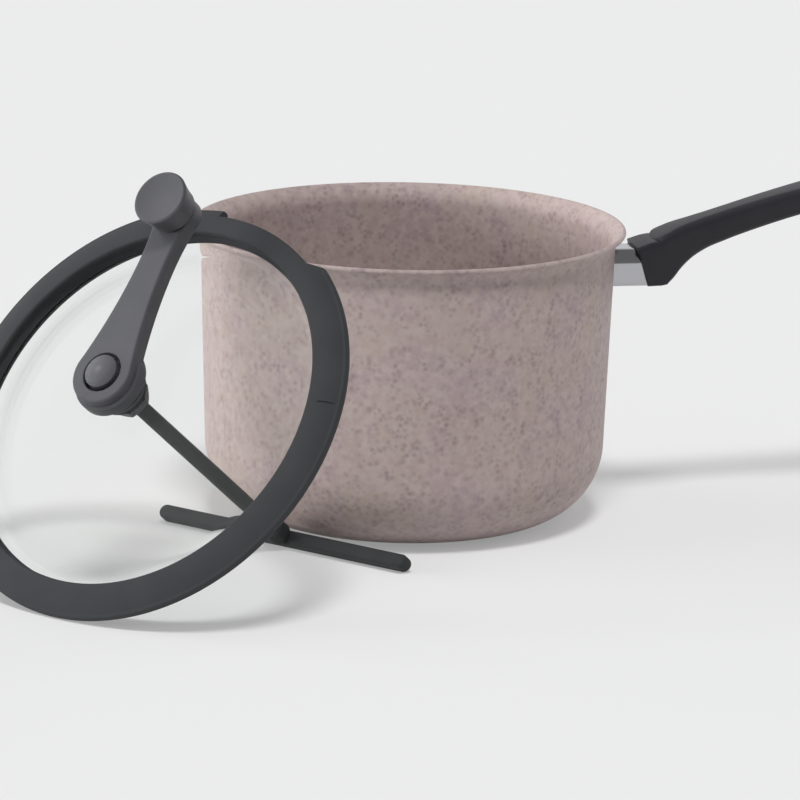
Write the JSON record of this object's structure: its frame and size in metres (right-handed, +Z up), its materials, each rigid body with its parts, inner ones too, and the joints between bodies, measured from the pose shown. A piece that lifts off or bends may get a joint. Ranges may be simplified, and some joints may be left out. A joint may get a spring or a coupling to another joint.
{
  "type": "stovetop popcorn popper",
  "caption": "Deep ceramic-coated pot with a flared lip and a side handle, and its glass lid with a hand crank, shaft and stirring paddle lying beside it.",
  "frame": {"origin": "centre of the pot's flat underside, on the pot's axis", "axes": "+Z up along the pot's axis, +X along the side handle, the lid group lies towards -X and -Y"},
  "size_m": [0.5239, 0.3297, 0.1945],
  "materials": {
    "speckled_ceramic": "satin ceramic coat with fine dark speckles on aluminium",
    "bakelite": "satin moulded thermoset",
    "nylon": "satin dark grey, heat resistant",
    "gloss_nylon": "dark grey with a polished face",
    "black_nylon": "satin near-black, heat resistant",
    "ring_silicone": "matt dark silicone",
    "clear_glass": "clear tempered",
    "polished_steel": "polished",
    "dark_shaft": "dark satin coat on steel",
    "zinc_steel": "plated",
    "aluminium_rivet": "satin",
    "brass_insert": "plain",
    "bearing_plastic": "natural PTFE"
  },
  "bodies": {
    "pot": {"pot_body": "speckled_ceramic", "handle_bracket": "zinc_steel", "bracket_rivets": "aluminium_rivet", "flame_guard": "polished_steel", "handle": "bakelite", "handle_screw": "zinc_steel", "handle_lock_washer": "zinc_steel"},
    "stirrer": {"crank_arm": "nylon", "hub_cap": "gloss_nylon", "shaft_nut": "zinc_steel", "shaft_washer": "zinc_steel", "thrust_washer": "bearing_plastic", "drive_shaft": "dark_shaft", "clip_washer": "bearing_plastic", "retaining_clip": "zinc_steel", "paddle": "black_nylon", "paddle_pin": "zinc_steel"},
    "lid": {"lid_ring": "ring_silicone", "lid_glass": "clear_glass", "hub_neck": "nylon", "upper_seal": "ring_silicone", "lower_seal": "ring_silicone", "hub_nut": "nylon", "shaft_bush": "bearing_plastic"},
    "knob": {"crank_knob": "nylon", "knob_insert": "brass_insert", "knob_screw": "zinc_steel", "knob_washer": "bearing_plastic"}
  },
  "joints": [
    {"name": "lid_lift", "type": "slide", "parent": "pot", "child": "stirrer", "axis": [-0.4242, -0.386, 0.8192], "range_m": [0, 0.25]},
    {"name": "crank_turn", "type": "hinge", "parent": "stirrer", "child": "lid", "pos_m": [-0.14741, -0.1342, 0.0848], "axis": [-0.5875, -0.5328, 0.6091], "continuous": true},
    {"name": "knob_spin", "type": "hinge", "parent": "stirrer", "child": "knob", "pos_m": [-0.10951, -0.09984, 0.15142], "axis": [-0.5875, -0.5328, 0.6091], "continuous": true}
  ]
}
